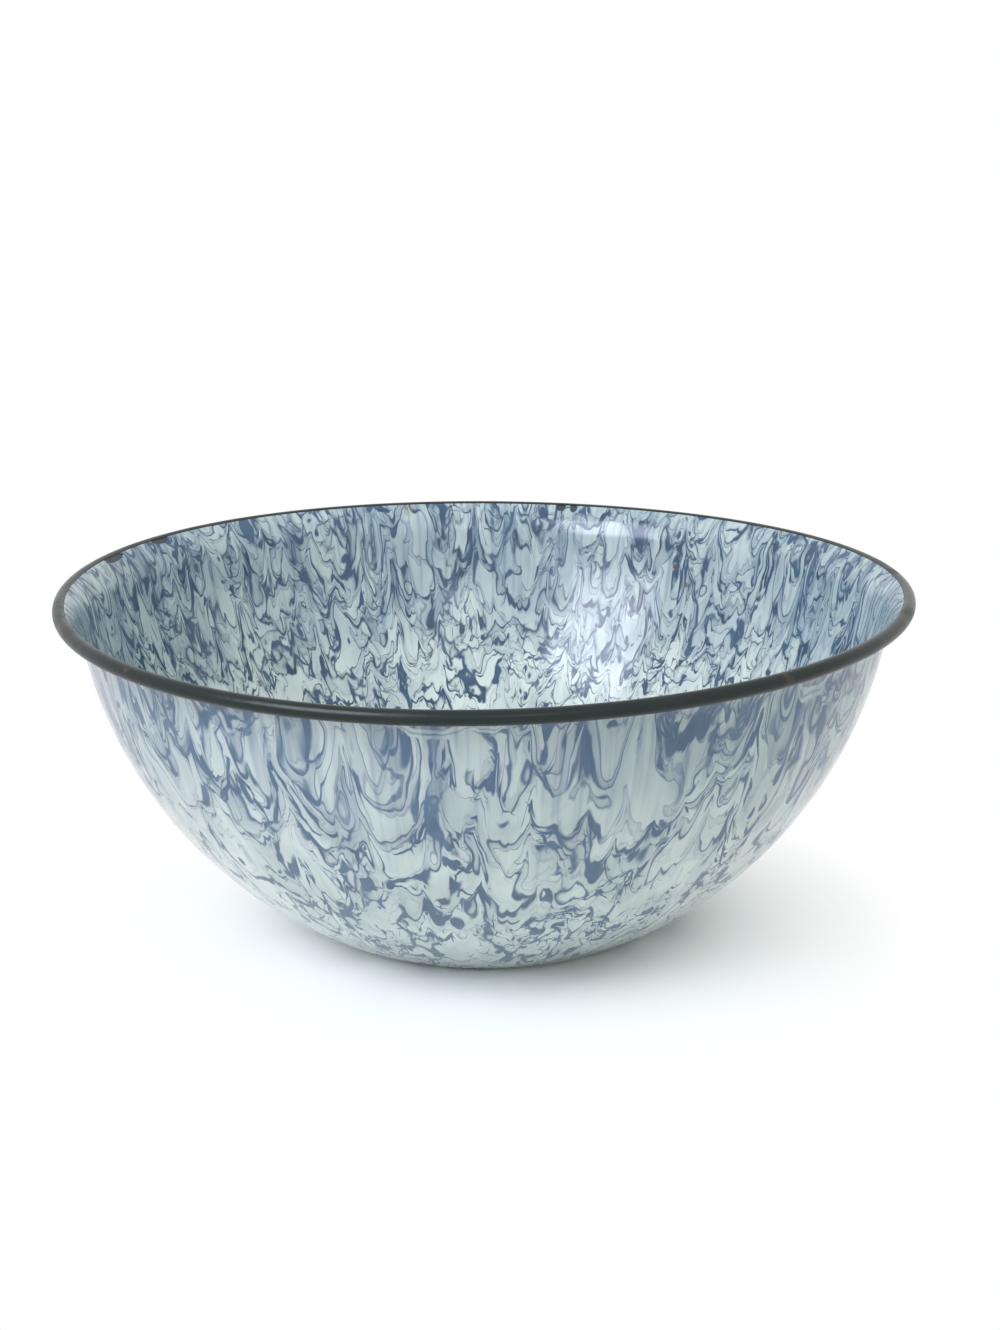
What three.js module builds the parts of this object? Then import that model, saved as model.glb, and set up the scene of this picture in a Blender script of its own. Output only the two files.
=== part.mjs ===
// Graniteware mixing bowl: a bowl drawn from one sheet of steel, its edge flared and rolled over a wire,
// then coated with fused enamel. A dark ground coat bonds to the steel, the blue and white swirl lies over
// that, inside and out, and a black enamel bead covers the rolled rim.
// Millimetres, +Z up. The origin is on the bowl's axis, at the level of the surface that it stands on.
import * as THREE from "three";

// Overall sizes, over the enamel
const rimDiameter = 280;
const bowlHeight = 112.5;

// Sheet steel: lengths and radii are those of the middle of its thickness
const steelThickness = 0.6;
const baseDiameter = 100; // across the flat of the base
const baseCornerRadius = 18; // from the base up into the side
const sideRadius = 140; // of the bowl's side, in section
const lipRadius = 18; // where the side turns outwards, below the roll
const lipAngle = THREE.MathUtils.degToRad(50); // lean of the lip from upright, where the roll begins

// Wire that stiffens the rim
const wireDiameter = 2.5;
const wireClearance = 0.15; // between the wire and the steel rolled round it

// Enamel
const groundCoatThickness = 0.1;
const swirlCoatThickness = 0.22;
const beadThickness = 0.32;
const bondGap = 0.02; // between one layer and the next
const buttGap = 0.1; // between the swirl's top edge and the bead
const tuckGap = 0.3; // between the bead's lower edge and the side that it is tucked against

// Facets
const roundSteps = 44; // round the bowl's axis
const cornerSteps = 2;
const sideSteps = 6;
const lipSteps = 2; // on each side of the place where the bead comes closest
const rollSteps = 8;
const wireSides = 8;

// Where each layer lies, measured from the middle of the sheet
const steelFace = steelThickness / 2;
const groundBack = steelFace + bondGap;
const groundFace = groundBack + groundCoatThickness;
const swirlBack = groundFace + bondGap;
const swirlFace = swirlBack + swirlCoatThickness;
const beadBack = steelFace + bondGap;
const beadFace = beadBack + beadThickness;

// The roll, in section: its centre is the wire's, and its radius is that of the middle of the sheet
const wireRadius = wireDiameter / 2;
const rollRadius = wireRadius + wireClearance + steelFace;
const beadRadius = rollRadius + beadFace;
const rollCentre = new THREE.Vector2(rimDiameter / 2 - beadRadius, bowlHeight - beadRadius);

/** The point at a distance from a centre, in the direction of an angle. */
function polar(centre, radius, angle) {
  return new THREE.Vector2(Math.cos(angle), Math.sin(angle)).multiplyScalar(radius).add(centre);
}

/** Where two circles cross, on the left of the way from the first centre to the second. */
function crossingOnTheLeft(centreA, radiusA, centreB, radiusB) {
  const between = centreB.clone().sub(centreA);
  const distance = between.length();
  const along = (distance ** 2 + radiusA ** 2 - radiusB ** 2) / (2 * distance);
  const across = Math.sqrt(radiusA ** 2 - along ** 2);
  const forward = between.divideScalar(distance);
  const left = new THREE.Vector2(-forward.y, forward.x);
  return centreA.clone().addScaledVector(forward, along).addScaledVector(left, across);
}

/** The direction from one point to another, as an angle. */
function angleTo(from, to) {
  return to.clone().sub(from).angle();
}

/** A triangle's angle between two of its sides, from the length of the side opposite. */
function angleBetweenSides(sideA, sideB, opposite) {
  return Math.acos((sideA ** 2 + sideB ** 2 - opposite ** 2) / (2 * sideA * sideB));
}

// Centres of the bends. The side's arc is tangent to the base corner within it and to the lip outside it.
const baseRadius = baseDiameter / 2;
const baseLevel = swirlFace; // the middle of the base's sheet stands on the coats under it
const cornerCentre = new THREE.Vector2(baseRadius, baseLevel + baseCornerRadius);
const rollStart = Math.PI - lipAngle;
const lipCentre = polar(rollCentre, rollRadius - lipRadius, rollStart);
const sideCentre = crossingOnTheLeft(
  cornerCentre,
  sideRadius - baseCornerRadius,
  lipCentre,
  sideRadius + lipRadius,
);
const cornerEnd = angleTo(sideCentre, cornerCentre);
const sideEnd = angleTo(sideCentre, lipCentre);

// The roll turns until the bead on it comes within the tuck gap of the swirl on the side's outer face.
const lipOuterRadius = lipRadius - swirlFace;
const beadTurn = Math.PI + angleBetweenSides(lipRadius - rollRadius, beadRadius, lipOuterRadius - tuckGap);
const beadEnd = rollStart - beadTurn;
const tuckAngle = angleTo(lipCentre, polar(rollCentre, beadRadius, beadEnd));
const edgeCover = beadThickness / rollRadius; // turn of the bead that wraps the sheet's cut edge
const rollEnd = beadEnd + edgeCover + bondGap / rollRadius;

/**
 * Stations along an arc of the sheet's mid-line. Each holds a point in section and the direction there to
 * the bowl's inside, which on the roll is the face that ends up outermost.
 */
function bend(centre, radius, startAngle, endAngle, steps, curlsInwards) {
  const arc = new THREE.ArcCurve(centre.x, centre.y, radius, startAngle, endAngle, !curlsInwards);
  return arc.getPoints(steps).map((point) => {
    const towardsCentre = centre.clone().sub(point).divideScalar(radius);
    return { point, inwards: curlsInwards ? towardsCentre : towardsCentre.negate() };
  });
}

// The mid-line from the axis to the cut edge, with each bend's first station left to the bend before it.
const baseCentreStation = { point: new THREE.Vector2(0, baseLevel), inwards: new THREE.Vector2(0, 1) };
const floorToSide = bend(cornerCentre, baseCornerRadius, -Math.PI / 2, cornerEnd, cornerSteps, true);
const side = bend(sideCentre, sideRadius, cornerEnd, sideEnd, sideSteps, true).slice(1);
const lipBelowTuck = bend(lipCentre, lipRadius, sideEnd + Math.PI, tuckAngle, lipSteps, false).slice(1);
const lipAboveTuck = bend(lipCentre, lipRadius, tuckAngle, rollStart, lipSteps, false).slice(1);
const roll = bend(rollCentre, rollRadius, rollStart, rollEnd, rollSteps, false).slice(1);

const baseToTuck = [baseCentreStation, ...floorToSide, ...side, ...lipBelowTuck];
const baseToLip = [...baseToTuck, ...lipAboveTuck];
const wholeSheet = [...baseToLip, ...roll];

/** The line that lies at a distance inwards of the mid-line, over a run of stations. */
function lineAt(stations, distance) {
  return stations.map(({ point, inwards }) => point.clone().addScaledVector(inwards, distance));
}

/** The section of a layer that reaches the axis: out along its outer line and back along its inner one. */
function layerSection(stations, outerDistance, innerDistance) {
  return [...lineAt(stations, outerDistance), ...lineAt(stations, innerDistance).reverse()];
}

/** The black bead: a C round the roll, hooked over the cut edge of the sheet. */
function beadSection() {
  const firstAngle = rollStart - buttGap / beadRadius;
  const rollInside = rollRadius - steelFace;
  const hookAngle = beadEnd + edgeCover;
  const back = rollRadius + beadBack;
  const inner = [
    polar(rollCentre, back, firstAngle),
    ...lineAt(roll, beadBack),
    polar(rollCentre, back, hookAngle),
    polar(rollCentre, rollInside, hookAngle),
  ];
  const outer = [
    polar(rollCentre, rollInside, beadEnd),
    polar(rollCentre, beadRadius, beadEnd),
    ...lineAt(roll, beadFace).reverse(),
    polar(rollCentre, beadRadius, firstAngle),
  ];
  return [...inner, ...outer, inner[0].clone()];
}

/** The rim wire's round section. */
function wireSection() {
  const circle = new THREE.ArcCurve(rollCentre.x, rollCentre.y, wireRadius, 0, 2 * Math.PI, false);
  return circle.getPoints(wireSides);
}

const steel = new THREE.MeshStandardMaterial({ color: 0x8b8d8e, roughness: 0.45, metalness: 1 });
const wireSteel = new THREE.MeshStandardMaterial({ color: 0x6f7173, roughness: 0.5, metalness: 1 });
const groundCoat = new THREE.MeshStandardMaterial({ color: 0x1d2026, roughness: 0.35, metalness: 0 });
const swirlEnamel = new THREE.MeshStandardMaterial({ color: 0xa9b9cf, roughness: 0.12, metalness: 0 });
const blackEnamel = new THREE.MeshStandardMaterial({ color: 0x2a2b2a, roughness: 0.18, metalness: 0 });

/** A piece turned from its section about the bowl's axis. */
function turned(name, section, material) {
  const piece = new THREE.Mesh(new THREE.LatheGeometry(section, roundSteps), material);
  piece.name = name;
  return piece;
}

const bowl = new THREE.Group();
bowl.add(
  turned("steel_shell", layerSection(wholeSheet, -steelFace, steelFace), steel),
  turned("rim_wire", wireSection(), wireSteel),
  turned("inner_ground_coat", layerSection(baseToLip, groundBack, groundFace), groundCoat),
  turned("outer_ground_coat", layerSection(baseToTuck, -groundFace, -groundBack), groundCoat),
  turned("inner_swirl_enamel", layerSection(baseToLip, swirlBack, swirlFace), swirlEnamel),
  turned("outer_swirl_enamel", layerSection(baseToTuck, -swirlFace, -swirlBack), swirlEnamel),
  turned("rim_bead_enamel", beadSection(), blackEnamel),
);
bowl.rotation.x = Math.PI / 2; // the sections are turned about +Y, which this stands up as +Z

export default bowl;
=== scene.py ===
# %% [markdown]
# # A graniteware mixing bowl
#
# The bowl is pressed from one sheet of steel. Its edge is flared and rolled over a wire, and the
# pressing is then dipped in enamel: a dark ground coat first, the blue and white swirl over that, and
# last a black bead round the rim. Each of those layers is a piece of its own here, because where the
# real bowl is chipped, the layer under the chip shows. The bowl's solids are loaded first and stay as
# they are. Everything below is drawn in their frame and at their sizes.

# %% Load the solids
import math

import bpy
from mathutils import Matrix, Quaternion, Vector


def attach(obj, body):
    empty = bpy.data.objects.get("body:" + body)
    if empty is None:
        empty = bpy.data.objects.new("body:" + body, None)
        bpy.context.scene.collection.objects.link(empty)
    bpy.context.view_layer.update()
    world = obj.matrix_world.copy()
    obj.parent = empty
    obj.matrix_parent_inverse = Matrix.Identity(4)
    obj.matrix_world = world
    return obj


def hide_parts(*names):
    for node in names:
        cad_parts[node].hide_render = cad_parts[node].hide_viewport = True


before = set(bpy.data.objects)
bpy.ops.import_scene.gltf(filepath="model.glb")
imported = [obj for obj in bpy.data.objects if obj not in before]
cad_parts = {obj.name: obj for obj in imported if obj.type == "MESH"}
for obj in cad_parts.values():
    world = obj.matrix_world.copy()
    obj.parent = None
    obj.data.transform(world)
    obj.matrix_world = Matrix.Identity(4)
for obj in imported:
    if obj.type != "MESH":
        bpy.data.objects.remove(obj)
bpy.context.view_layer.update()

mm = 0.001  # in metres, the unit of every object here
print("solids:", ", ".join(sorted(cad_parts)))

# %% [markdown]
# ## Camera
#
# The bowl is seen from a little above its rim, so that the eye looks over the front edge at the far
# inside wall. The flatness of the rim's ellipse gives the height of the eye, and the difference between
# the near and the far half of the ellipse gives its distance. The camera is set by those two and by the
# small turns that bring the bowl to its place in the picture, so no shift is needed.

# %% Camera
picture_height = 1330  # pixels, the long side of the upright picture
focal_length = 2510  # pixels
rim_level = 110.16 * mm  # the middle of the bead
eye_distance = 825 * mm
eye_elevation = math.radians(14.12)
tilt_down = math.radians(15.76)
turn_right = math.radians(0.36)
roll = math.radians(-0.395)

camera = bpy.data.objects.new("camera", bpy.data.cameras.new("camera"))
bpy.context.collection.objects.link(camera)
bpy.context.scene.camera = camera
camera.data.sensor_width = 36
camera.data.lens = camera.data.sensor_width * focal_length / picture_height
eye_level = rim_level + eye_distance * math.sin(eye_elevation)
camera.location = (0, -eye_distance * math.cos(eye_elevation), eye_level)
gaze = Vector((
    math.sin(turn_right) * math.cos(tilt_down),
    math.cos(turn_right) * math.cos(tilt_down),
    -math.sin(tilt_down),
))
camera.rotation_mode = "QUATERNION"
camera.rotation_quaternion = gaze.to_track_quat("-Z", "Y") @ Quaternion((0, 0, 1), roll)
print("lens, mm: %.1f" % camera.data.lens)

# %% [markdown]
# ## One way to write materials
#
# Every finish below is a tree of nodes. One small function adds a node, gives it its settings, and
# links or sets its inputs, so that a tree reads from top to bottom like a recipe. Colours are written
# as sRGB hex values, the way a colour picker shows them, and one function turns them into the linear
# values that Blender works with. Three habits of Blender's nodes come up again and again. A Mix of
# colours takes its share at input 0 and its colours at 6 and 7, and gives the result at output 2. A
# MapRange takes a value, the two ends that it is measured between, and what it becomes at each. A noise
# in four dimensions takes its seed as W, and its values lie mostly between 0.3 and 0.7, so a pair of
# numbers in there sets how much of a thing there is and how soft its edge is.

# %% Helpers for node trees
def linear(hex_colour):
    """An sRGB hex colour as linear RGBA."""
    channels = [int(hex_colour[i:i + 2], 16) / 255 for i in (1, 3, 5)]
    return [c / 12.92 if c <= 0.04045 else ((c + 0.055) / 1.055) ** 2.4 for c in channels] + [1.0]


def add(tree, kind, inputs=(), output=0, **settings):
    """Add a node with its settings, link or set its inputs, and return an output, or for None the node."""
    node = tree.nodes.new("ShaderNode" + kind)
    for name, value in settings.items():
        setattr(node, name, value)
    for key, value in inputs.items() if isinstance(inputs, dict) else enumerate(inputs):
        if isinstance(value, bpy.types.NodeSocket):
            tree.links.new(value, node.inputs[key])
        else:
            node.inputs[key].default_value = linear(value) if isinstance(value, str) else value
    return node if output is None else node.outputs[output]


def new_tree(material):
    """The empty node tree of a material or of the world."""
    material.use_nodes = True
    material.node_tree.nodes.clear()
    return material.node_tree


# %% [markdown]
# ## Stage and light
#
# A bowl like this is photographed on a sheet of white paper that curves up behind it, in soft light.
# The paper is a plane whose back edge is extruded upwards, with the fold bevelled into a wide curve.

# %% Paper sweep
stage_size = 5.0  # metres, like the next two
sweep_height = 3.0
sweep_radius = 1.2
sweep_segments = 24
floor_level = -0.05 * mm  # a hair under the base, so that the two don't share a plane

bpy.ops.object.select_all(action="DESELECT")
bpy.ops.mesh.primitive_plane_add(size=stage_size, location=(0, 0, floor_level))
sweep = bpy.context.object
sweep.name = "paper_sweep"
bpy.ops.object.transform_apply(location=True, rotation=False, scale=False)


def select_edges(piece, wanted):
    """In edit mode, select the edges whose two ends satisfy a test."""
    bpy.ops.object.mode_set(mode="OBJECT")
    for part in (piece.data.polygons, piece.data.edges, piece.data.vertices):
        part.foreach_set("select", [False] * len(part))
    corners = piece.data.vertices
    for edge in piece.data.edges:
        edge.select = all(wanted(corners[v].co) for v in edge.vertices)
    bpy.ops.object.mode_set(mode="EDIT")


back = stage_size / 2
bpy.ops.object.mode_set(mode="EDIT")
bpy.ops.mesh.select_mode(type="EDGE")
select_edges(sweep, lambda co: co.y > back - mm)
bpy.ops.mesh.extrude_region_move(TRANSFORM_OT_translate={"value": (0, 0, sweep_height)})
select_edges(sweep, lambda co: co.y > back - mm and co.z < mm)
bpy.ops.mesh.bevel(offset=sweep_radius, segments=sweep_segments)
bpy.ops.object.mode_set(mode="OBJECT")
bpy.ops.object.shade_smooth()
print("paper sweep:", len(sweep.data.polygons), "faces")

# %% [markdown]
# Matt paper scatters light evenly, so it takes soft shadows and mirrors nothing. It is lit like
# anything else here, and what the camera and the reflections see of it is lifted towards plain white,
# the more the farther it lies from the middle of the bowl's shadow. That clears the background without
# throwing more light on the bowl.

# %% Matt white paper
shadow_centre = (6 * mm, -12 * mm, 0)  # to the right and towards the camera, as the bowl's shadow lies
shadow_start, shadow_end = 56 * mm, 135 * mm  # from that centre: all shadow here, plain white there


def seen_directly(tree):
    """1 for rays that the camera sees, straight or mirrored, and 0 for rays that only carry light."""
    rays = add(tree, "LightPath", output=None).outputs
    seen = add(tree, "Math", [rays["Is Camera Ray"], rays["Is Glossy Ray"]], operation="MAXIMUM")
    return add(tree, "Math", [seen, rays["Is Transmission Ray"]], operation="MAXIMUM")


paper = bpy.data.materials.new("matt_white_paper")
tree = new_tree(paper)
place = add(tree, "TexCoord", output="Object")
from_centre = add(tree, "VectorMath", [place, shadow_centre], output="Value", operation="DISTANCE")
white_share = add(tree, "MapRange", [from_centre, shadow_start, shadow_end, 0, 1])
lifted = add(tree, "Math", [seen_directly(tree), white_share], operation="MULTIPLY")
lit = add(tree, "BsdfDiffuse", {"Color": "#F1F5F4"})
plain = add(tree, "Emission", {"Color": "#FFFFFF", "Strength": 1.0})
surface = add(tree, "MixShader", [lifted, lit, plain])
add(tree, "OutputMaterial", [surface], output=None)
sweep.data.materials.append(paper)
print("paper:", len(tree.nodes), "nodes")

# %% [markdown]
# The light is a white room with two soft boxes. The large one stands to the left of the camera and is a
# little blue, like daylight: its reflection is the broad pale patch on the far inside wall, and it
# throws the bowl's shadow to the right. The small one, above the camera, makes the second, fainter
# patch. Their directions were found by following the line of sight to each patch and back off the wall.
# The bowl's steep walls see less of the room than open paper does, so the room is a little brighter
# than white paper needs: then a colour on the walls renders about as it is written. What the camera and
# the reflections see of the room is plain white.

# %% Room and soft boxes
room_light = 1.07  # white in the open gets this much from the room, and more from the boxes
world = bpy.data.worlds.new("white_room")
bpy.context.scene.world = world
tree = new_tree(world)
lighting = add(tree, "Background", {"Color": "#F9FEFB", "Strength": room_light})
white = add(tree, "Background", {"Color": "#FFFFFF", "Strength": 1.0})
room = add(tree, "MixShader", [seen_directly(tree), lighting, white])
add(tree, "OutputWorld", [room], output=None)

aim = Vector((0, 0, 80 * mm))  # the soft boxes face this point, inside the bowl
# direction from straight ahead towards the right, elevation, distance, width, height, watts, colour
soft_boxes = {
    "large_soft_box": (-135, 35, 1.30, 0.66, 0.76, 12.8, "#EDEFFF"),
    "small_soft_box": (170, 31, 1.45, 0.26, 0.30, 0.8, "#FFFFFF"),
}
for name, (direction, elevation, distance, width, height, watts, colour) in soft_boxes.items():
    box = bpy.data.objects.new(name, bpy.data.lights.new(name, "AREA"))
    bpy.context.collection.objects.link(box)
    turn, rise = math.radians(direction), math.radians(elevation)
    towards = Vector((math.sin(turn) * math.cos(rise), math.cos(turn) * math.cos(rise), math.sin(rise)))
    box.location = aim + distance * towards
    box.rotation_mode = "QUATERNION"
    box.rotation_quaternion = towards.to_track_quat("Z", "Y")
    box.data.shape = "RECTANGLE"
    box.data.size, box.data.size_y = width, height
    box.data.energy = watts
    box.data.color = linear(colour)[:3]
    box.visible_camera = False
    print(name, "at", [round(c, 2) for c in box.location])

# %% [markdown]
# ## The bowl's section
#
# Cut through, the sheet runs from the middle of the base, round a tight corner into the side, up the
# side on one long arc, outwards round the lip, and then rolls over the wire. Four arcs that flow into
# each other draw that line. Each layer lies at its own distance from it, so the line is worked out
# once, as stations that know the direction to the inside of the bowl, and every piece is drawn at a
# distance from the stations.

# %% Sizes, in millimetres
rim_diameter = 280.0
bowl_height = 112.5
steel_face = 0.3  # half of the sheet's thickness
base_radius = 50.0
corner_radius = 18.0
side_radius = 140.0
lip_radius = 18.0
lip_angle = math.radians(50)
wire_radius = 1.25
wire_clearance = 0.15
ground_thickness = 0.1
swirl_thickness = 0.22
bead_thickness = 0.32
bond_gap = 0.02  # between a coat and the layer under it
butt_gap = 0.1  # between the swirl and the bead
tuck_gap = 0.3  # between the bead's lower edge and the side

ground_back = steel_face + bond_gap
ground_face = ground_back + ground_thickness
swirl_back = ground_face + bond_gap
swirl_face = swirl_back + swirl_thickness
roll_radius = wire_radius + wire_clearance + steel_face
bead_back = roll_radius + steel_face + bond_gap
bead_radius = bead_back + bead_thickness
print("enamel on each side of the steel, mm: %.2f" % (swirl_face - steel_face))


# %% The four arcs
def polar(centre, radius, angle):
    """The point at a distance from a centre, in the direction of an angle."""
    return centre + radius * Vector((math.cos(angle), math.sin(angle)))


def angle_to(start, end):
    """The direction from one point to another, as an angle."""
    return math.atan2(end.y - start.y, end.x - start.x)


roll_centre = Vector((rim_diameter / 2 - bead_radius, bowl_height - bead_radius))
roll_start = math.pi - lip_angle
corner_centre = Vector((base_radius, swirl_face + corner_radius))
lip_centre = polar(roll_centre, roll_radius - lip_radius, roll_start)

# The side's arc holds the corner within it and touches the lip from outside, so its centre is where two
# circles cross.
to_corner = side_radius - corner_radius
to_lip = side_radius + lip_radius
between = lip_centre - corner_centre
along = (between.length_squared + to_corner ** 2 - to_lip ** 2) / (2 * between.length)
across = math.sqrt(to_corner ** 2 - along ** 2)
forward = between.normalized()
side_centre = corner_centre + along * forward + across * Vector((-forward.y, forward.x))
corner_end = angle_to(side_centre, corner_centre)
side_end = angle_to(side_centre, lip_centre)

# The roll turns until its bead comes within the tuck gap of the swirl on the side.
lip_to_roll = lip_radius - roll_radius
lip_to_bead = lip_radius - swirl_face - tuck_gap
cosine = (lip_to_roll ** 2 + bead_radius ** 2 - lip_to_bead ** 2) / (2 * lip_to_roll * bead_radius)
bead_end = roll_start - math.pi - math.acos(cosine)
tuck_angle = angle_to(lip_centre, polar(roll_centre, bead_radius, bead_end))
hook_angle = bead_end + bead_thickness / roll_radius
roll_end = hook_angle + bond_gap / roll_radius
print("side arc, mm: centre (%.1f, %.1f)" % tuple(side_centre))


# %% Stations along the section
hollow, bulging = -1, 1  # which side of an arc faces the inside of the bowl


def bend(centre, radius, start, end, steps, inside):
    """Stations on an arc: a point, and the direction there to the inside of the bowl."""
    stations = []
    for step in range(steps + 1):
        outwards = polar(Vector((0, 0)), 1, start + (end - start) * step / steps)
        stations.append((centre + radius * outwards, inside * outwards))
    return stations


base_steps = 6
corner_steps, side_steps, lower_lip_steps, upper_lip_steps, roll_steps = 14, 54, 8, 10, 40
base = [
    (Vector((base_radius * step / base_steps, swirl_face)), Vector((0, 1)))
    for step in range(base_steps)
]
corner = bend(corner_centre, corner_radius, -math.pi / 2, corner_end, corner_steps, hollow)
side = bend(side_centre, side_radius, corner_end, side_end, side_steps, hollow)[1:]
lip_start = side_end + math.pi
lip_below_tuck = bend(lip_centre, lip_radius, lip_start, tuck_angle, lower_lip_steps, bulging)[1:]
lip_above_tuck = bend(lip_centre, lip_radius, tuck_angle, roll_start, upper_lip_steps, bulging)[1:]
rolled = bend(roll_centre, roll_radius, roll_start, roll_end, roll_steps, bulging)[1:]

to_tuck = base + corner + side + lip_below_tuck
to_lip_edge = to_tuck + lip_above_tuck
whole_sheet = to_lip_edge + rolled


def line_at(stations, distance):
    """The line that lies at a distance to the inside of the stations."""
    return [point + distance * inwards for point, inwards in stations]


def layer(stations, outer, inner):
    """The outline of a layer: out along its outer face, and back along its inner one."""
    return line_at(stations, outer) + line_at(stations, inner)[::-1]


print("stations:", len(whole_sheet))

# %% [markdown]
# ## Turning a piece
#
# Round ware could be made by scaling a circle up ring by ring, but the section is what a bowl maker
# draws, so the pieces are turned from it. A small plane is merged to one point, the point is extruded
# along the outline, and the outline is spun once round the bowl's axis. Where the spin meets itself,
# and on the axis, points lie on top of each other, so they are merged, and then the faces are turned to
# point outwards.

# %% Turning
round_steps = 192
merge_distance = 0.5 * bond_gap * mm


def turned(name, outline, closed):
    """A piece made by spinning an outline, in millimetres, round the bowl's axis."""
    points = [Vector((point.x, 0, point.y)) * mm for point in outline]
    if closed:
        points.append(points[0])
    bpy.ops.object.select_all(action="DESELECT")
    bpy.ops.mesh.primitive_plane_add(size=mm)
    piece = bpy.context.object
    piece.name = name
    bpy.ops.object.mode_set(mode="EDIT")
    bpy.ops.mesh.select_mode(type="VERT")
    bpy.ops.mesh.select_all(action="SELECT")
    bpy.ops.mesh.merge(type="CENTER")
    bpy.ops.transform.translate(value=points[0])
    for start, end in zip(points, points[1:]):
        bpy.ops.mesh.extrude_region_move(TRANSFORM_OT_translate={"value": end - start})
    bpy.ops.mesh.select_all(action="SELECT")
    bpy.ops.mesh.spin(steps=round_steps, angle=2 * math.pi, center=(0, 0, 0), axis=(0, 0, 1))
    bpy.ops.mesh.select_all(action="SELECT")
    bpy.ops.mesh.remove_doubles(threshold=merge_distance)
    bpy.ops.mesh.normals_make_consistent(inside=False)
    bpy.ops.object.mode_set(mode="OBJECT")
    print(name, len(piece.data.polygons), "faces")
    return piece


# %% [markdown]
# ## Steel and wire
#
# Neither shows on a sound bowl, but they are what the rim's roundness and the thin edge come from. The
# sheet ends in the roll, and the wire lies loose in it with a little clearance all round.

# %% Steel shell and rim wire
steel_shell = turned("drawn_steel_shell", layer(whole_sheet, -steel_face, steel_face), closed=False)
wire_sides = 24
wire_outline = [
    polar(roll_centre, wire_radius, 2 * math.pi * number / wire_sides)
    for number in range(wire_sides)
]
rim_wire = turned("rolled_in_wire", wire_outline, closed=True)

# %% [markdown]
# ## Ground coats
#
# The first coat to be fired is thin and nearly black. It bonds the enamel to the steel and shows only
# in chips.

# %% Ground coats
inner_ground = turned("ground_coat_inside", layer(to_lip_edge, ground_back, ground_face), closed=False)
outer_ground = turned("ground_coat_outside", layer(to_tuck, -ground_face, -ground_back), closed=False)

# %% [markdown]
# ## Swirl coats
#
# The swirl lies over the ground coat, inside up to the start of the black bead, and outside up to where
# the roll comes back to the side. Molten enamel draws back from an edge, so the upper edges are rounded
# by a bevel.

# %% Swirl coats
edge_rounding = 0.07
sharp = math.radians(50)  # an edge that turns by more than this is rounded


def apply_modifier(piece, kind, **settings):
    """Add a modifier to a piece, with its settings, and apply it."""
    bpy.ops.object.select_all(action="DESELECT")
    piece.select_set(True)
    bpy.context.view_layer.objects.active = piece
    modifier = piece.modifiers.new(kind.lower(), kind)
    for name, value in settings.items():
        setattr(modifier, name, value)
    bpy.ops.object.modifier_apply(modifier=modifier.name)


inner_swirl = turned("swirl_coat_inside", layer(to_lip_edge, swirl_back, swirl_face), closed=False)
outer_swirl = turned("swirl_coat_outside", layer(to_tuck, -swirl_face, -swirl_back), closed=False)
for coat in (inner_swirl, outer_swirl):
    apply_modifier(coat, "BEVEL", width=edge_rounding * mm, segments=2, angle_limit=sharp)

# %% [markdown]
# ## Black bead
#
# The bead is brushed on last, over the roll. In section it is a C that starts at the edge of the inner
# swirl and hooks round the sheet's cut edge, where a rounded nose hides the steel.

# %% Black bead
first_angle = roll_start - butt_gap / bead_radius
bead_steps = 48
sweep_angles = [
    first_angle + (bead_end - first_angle) * step / bead_steps
    for step in range(bead_steps + 1)
]
roll_inside = roll_radius - steel_face
back_angles = [angle for angle in sweep_angles if angle > hook_angle] + [hook_angle]
bead_outline = [polar(roll_centre, bead_back, angle) for angle in back_angles]
bead_outline.append(polar(roll_centre, roll_inside, hook_angle))
bead_outline.append(polar(roll_centre, roll_inside, bead_end))
bead_outline += [polar(roll_centre, bead_radius, angle) for angle in reversed(sweep_angles)]
bead = turned("black_rim_bead", bead_outline, closed=True)
bead_rounding = 0.1
apply_modifier(bead, "BEVEL", width=bead_rounding * mm, segments=3, angle_limit=sharp)

# %% [markdown]
# ## Chips
#
# Knocks on the rim have broken small flakes out of the swirl, two at the left and two at the back, just
# under the bead. A flake is cut out with a flattened ball whose points are moved about at random, so
# that the edge of the chip is ragged. Only the swirl coat is cut: the dark ground coat under it is a
# piece of its own and shows.

# %% Chips
# angle round the axis from the right, distance below the bead, width along the rim, height up the lip
chips = [
    (160.6, 0.7, 13.0, 3.8),
    (148.1, 0.6, 9.5, 3.4),
    (77.4, 0.8, 3.4, 4.6),
    (75.4, 1.2, 2.8, 4.0),
]
cutter_depth = 1.2
raggedness = 0.06  # in widths of the cutter
first_seed = 3
lip_line = line_at(to_lip_edge, swirl_face)


def on_inner_wall(angle, below_edge):
    """A place on the inner wall, the way up and the way inwards there, by the distance from its edge."""
    left = below_edge
    for upper, lower in zip(lip_line[::-1], lip_line[-2::-1]):
        step = (upper - lower).length
        if left <= step:
            break
        left -= step
    place = upper.lerp(lower, left / step)
    up = (upper - lower).normalized()
    round_axis = Quaternion((0, 0, 1), math.radians(angle))
    return tuple(round_axis @ Vector((p.x, 0, p.y)) for p in (place, up, Vector((-up.y, up.x))))


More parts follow.
